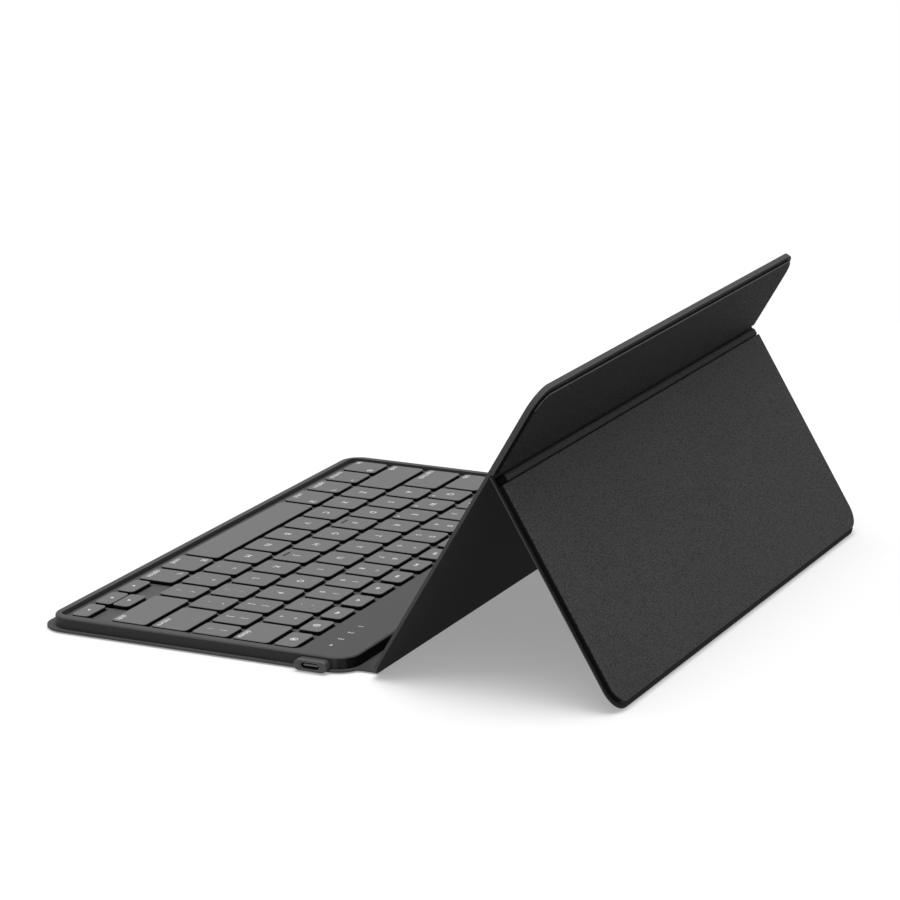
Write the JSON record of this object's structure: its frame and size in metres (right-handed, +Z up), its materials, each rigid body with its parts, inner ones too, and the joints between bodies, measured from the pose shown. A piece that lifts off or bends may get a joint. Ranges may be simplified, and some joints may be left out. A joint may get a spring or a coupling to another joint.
{
  "type": "tablet keyboard case",
  "caption": "Slim keyboard deck on a flexible wrap whose hinged rear panel and drop leg fold out into an A-shaped stand, and fold flat over the keys to close it.",
  "frame": {"origin": "on the floor, under the middle of the keyboard deck", "axes": "+X to the keyboard's right along the key rows, +Y from the front edge towards the stand, +Z up"},
  "size_m": [0.2893, 0.2619, 0.1267],
  "materials": {
    "key_plastic": "satin",
    "wrap_leather": "fine-grained",
    "board_leather": "fine-grained",
    "lining_fabric": "napped",
    "deck_plastic": "satin",
    "tray_plastic": "satin",
    "bezel_plastic": "satin",
    "sheet_steel": "brushed",
    "magnet_metal": "plated",
    "switch_rubber": "matte",
    "board_laminate": "satin",
    "cell_foil": "satin",
    "lens_plastic": "clear",
    "tongue_plastic": "satin"
  },
  "bodies": {
    "base": {"base_wrap": "wrap_leather", "deck_shell": "deck_plastic", "tray_floor": "tray_plastic", "bottom_cover": "deck_plastic", "switch_plate": "sheet_steel", "dome_sheet": "switch_rubber", "circuit_board": "board_laminate", "battery_cells": "cell_foil", "rim_magnets": "magnet_metal", "indicator_lights": "lens_plastic", "socket_bezel": "bezel_plastic", "socket_shell": "sheet_steel", "socket_tongue": "tongue_plastic"},
    "web": {"spine_web": "wrap_leather"},
    "panel": {"panel_board": "wrap_leather", "panel_lining": "lining_fabric", "panel_strip": "sheet_steel", "cover_skin": "wrap_leather", "cover_board": "board_leather", "cover_magnets": "magnet_metal"},
    "leg": {"leg_skin_sheet": "wrap_leather", "leg_board": "board_leather", "leg_magnets": "magnet_metal", "ridge_strip": "board_leather"},
    "space_key_body": {"space_key": "key_plastic"},
    "fn_key_body": {"fn_key": "key_plastic"},
    "control_key_body": {"control_key": "key_plastic"},
    "left_option_key_body": {"left_option_key": "key_plastic"},
    "left_command_key_body": {"left_command_key": "key_plastic"},
    "right_command_key_body": {"right_command_key": "key_plastic"},
    "right_option_key_body": {"right_option_key": "key_plastic"},
    "left_arrow_key_body": {"left_arrow_key": "key_plastic"},
    "up_arrow_key_body": {"up_arrow_key": "key_plastic"},
    "down_arrow_key_body": {"down_arrow_key": "key_plastic"},
    "right_arrow_key_body": {"right_arrow_key": "key_plastic"},
    "left_shift_key_body": {"left_shift_key": "key_plastic"},
    "right_shift_key_body": {"right_shift_key": "key_plastic"},
    "caps_lock_key_body": {"caps_lock_key": "key_plastic"},
    "return_key_body": {"return_key": "key_plastic"},
    "tab_key_body": {"tab_key": "key_plastic"},
    "backslash_key_body": {"backslash_key": "key_plastic"},
    "grave_key_body": {"grave_key": "key_plastic"},
    "delete_key_body": {"delete_key": "key_plastic"},
    "escape_key_body": {"escape_key": "key_plastic"},
    "lock_key_body": {"lock_key": "key_plastic"},
    "function_keys_body": {"function_keys": "key_plastic"},
    "number_keys_body": {"number_keys": "key_plastic"},
    "upper_letter_keys_body": {"upper_letter_keys": "key_plastic"},
    "home_letter_keys_body": {"home_letter_keys": "key_plastic"},
    "lower_letter_keys_body": {"lower_letter_keys": "key_plastic"}
  },
  "joints": [
    {"name": "spine_hinge", "type": "hinge", "parent": "base", "child": "web", "pos_m": [0, 0.07285, 0.0005], "axis": [1, 0, 0], "range_deg": [0, 90]},
    {"name": "panel_hinge", "type": "hinge", "parent": "web", "child": "panel", "pos_m": [0, 0.08035, 0.0005], "axis": [1, 0, 0], "range_deg": [-60, 30]},
    {"name": "leg_hinge", "type": "hinge", "parent": "panel", "child": "leg", "pos_m": [0, 0.13303, 0.08925], "axis": [1, 0, 0], "range_deg": [-60, 30]},
    {"name": "space_key_press", "type": "slide", "parent": "base", "child": "space_key_body", "axis": [0, 0, -1], "range_m": [0, 0.0012], "stiffness_N_per_m": 500},
    {"name": "fn_key_press", "type": "slide", "parent": "base", "child": "fn_key_body", "axis": [0, 0, -1], "range_m": [0, 0.0012], "stiffness_N_per_m": 500},
    {"name": "control_key_press", "type": "slide", "parent": "base", "child": "control_key_body", "axis": [0, 0, -1], "range_m": [0, 0.0012], "stiffness_N_per_m": 500},
    {"name": "left_option_key_press", "type": "slide", "parent": "base", "child": "left_option_key_body", "axis": [0, 0, -1], "range_m": [0, 0.0012], "stiffness_N_per_m": 500},
    {"name": "left_command_key_press", "type": "slide", "parent": "base", "child": "left_command_key_body", "axis": [0, 0, -1], "range_m": [0, 0.0012], "stiffness_N_per_m": 500},
    {"name": "right_command_key_press", "type": "slide", "parent": "base", "child": "right_command_key_body", "axis": [0, 0, -1], "range_m": [0, 0.0012], "stiffness_N_per_m": 500},
    {"name": "right_option_key_press", "type": "slide", "parent": "base", "child": "right_option_key_body", "axis": [0, 0, -1], "range_m": [0, 0.0012], "stiffness_N_per_m": 500},
    {"name": "left_arrow_key_press", "type": "slide", "parent": "base", "child": "left_arrow_key_body", "axis": [0, 0, -1], "range_m": [0, 0.0012], "stiffness_N_per_m": 500},
    {"name": "up_arrow_key_press", "type": "slide", "parent": "base", "child": "up_arrow_key_body", "axis": [0, 0, -1], "range_m": [0, 0.0012], "stiffness_N_per_m": 500},
    {"name": "down_arrow_key_press", "type": "slide", "parent": "base", "child": "down_arrow_key_body", "axis": [0, 0, -1], "range_m": [0, 0.0012], "stiffness_N_per_m": 500},
    {"name": "right_arrow_key_press", "type": "slide", "parent": "base", "child": "right_arrow_key_body", "axis": [0, 0, -1], "range_m": [0, 0.0012], "stiffness_N_per_m": 500},
    {"name": "left_shift_key_press", "type": "slide", "parent": "base", "child": "left_shift_key_body", "axis": [0, 0, -1], "range_m": [0, 0.0012], "stiffness_N_per_m": 500},
    {"name": "right_shift_key_press", "type": "slide", "parent": "base", "child": "right_shift_key_body", "axis": [0, 0, -1], "range_m": [0, 0.0012], "stiffness_N_per_m": 500},
    {"name": "caps_lock_key_press", "type": "slide", "parent": "base", "child": "caps_lock_key_body", "axis": [0, 0, -1], "range_m": [0, 0.0012], "stiffness_N_per_m": 500},
    {"name": "return_key_press", "type": "slide", "parent": "base", "child": "return_key_body", "axis": [0, 0, -1], "range_m": [0, 0.0012], "stiffness_N_per_m": 500},
    {"name": "tab_key_press", "type": "slide", "parent": "base", "child": "tab_key_body", "axis": [0, 0, -1], "range_m": [0, 0.0012], "stiffness_N_per_m": 500},
    {"name": "backslash_key_press", "type": "slide", "parent": "base", "child": "backslash_key_body", "axis": [0, 0, -1], "range_m": [0, 0.0012], "stiffness_N_per_m": 500},
    {"name": "grave_key_press", "type": "slide", "parent": "base", "child": "grave_key_body", "axis": [0, 0, -1], "range_m": [0, 0.0012], "stiffness_N_per_m": 500},
    {"name": "delete_key_press", "type": "slide", "parent": "base", "child": "delete_key_body", "axis": [0, 0, -1], "range_m": [0, 0.0012], "stiffness_N_per_m": 500},
    {"name": "escape_key_press", "type": "slide", "parent": "base", "child": "escape_key_body", "axis": [0, 0, -1], "range_m": [0, 0.0012], "stiffness_N_per_m": 500},
    {"name": "lock_key_press", "type": "slide", "parent": "base", "child": "lock_key_body", "axis": [0, 0, -1], "range_m": [0, 0.0012], "stiffness_N_per_m": 500},
    {"name": "function_keys_press", "type": "slide", "parent": "base", "child": "function_keys_body", "axis": [0, 0, -1], "range_m": [0, 0.0012], "stiffness_N_per_m": 500},
    {"name": "number_keys_press", "type": "slide", "parent": "base", "child": "number_keys_body", "axis": [0, 0, -1], "range_m": [0, 0.0012], "stiffness_N_per_m": 500},
    {"name": "upper_letter_keys_press", "type": "slide", "parent": "base", "child": "upper_letter_keys_body", "axis": [0, 0, -1], "range_m": [0, 0.0012], "stiffness_N_per_m": 500},
    {"name": "home_letter_keys_press", "type": "slide", "parent": "base", "child": "home_letter_keys_body", "axis": [0, 0, -1], "range_m": [0, 0.0012], "stiffness_N_per_m": 500},
    {"name": "lower_letter_keys_press", "type": "slide", "parent": "base", "child": "lower_letter_keys_body", "axis": [0, 0, -1], "range_m": [0, 0.0012], "stiffness_N_per_m": 500}
  ]
}
